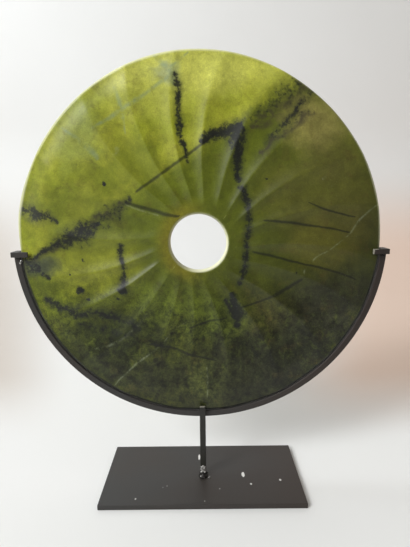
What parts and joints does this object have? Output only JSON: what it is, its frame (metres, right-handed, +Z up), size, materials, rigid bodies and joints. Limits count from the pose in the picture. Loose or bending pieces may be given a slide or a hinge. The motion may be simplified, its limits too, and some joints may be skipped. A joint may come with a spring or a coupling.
{
  "type": "bi disc on stand",
  "caption": "Upright carved stone disc with a round central hole and shallow swirling flutes, resting in a half-ring cradle with end clips on a stemmed flat steel base.",
  "frame": {"origin": "on the surface it stands on, below the centre of the disc and of the base plate's depth", "axes": "+Z up, the carved front faces -Y, +X to the right of a viewer facing the front"},
  "size_m": [0.357, 0.1, 0.4212],
  "materials": {
    "jade": "polished, yellow-green to near-black stone with dark seams and pale veins",
    "patinated_steel": "satin brown-black patina with faint blotches and bright welds"
  },
  "bodies": {
    "root": {"jade_disc": "jade", "cradle_ring": "patinated_steel", "clip_left": "patinated_steel", "clip_right": "patinated_steel", "bottom_clip": "patinated_steel", "stem": "patinated_steel", "base_plate": "patinated_steel"}
  },
  "joints": []
}
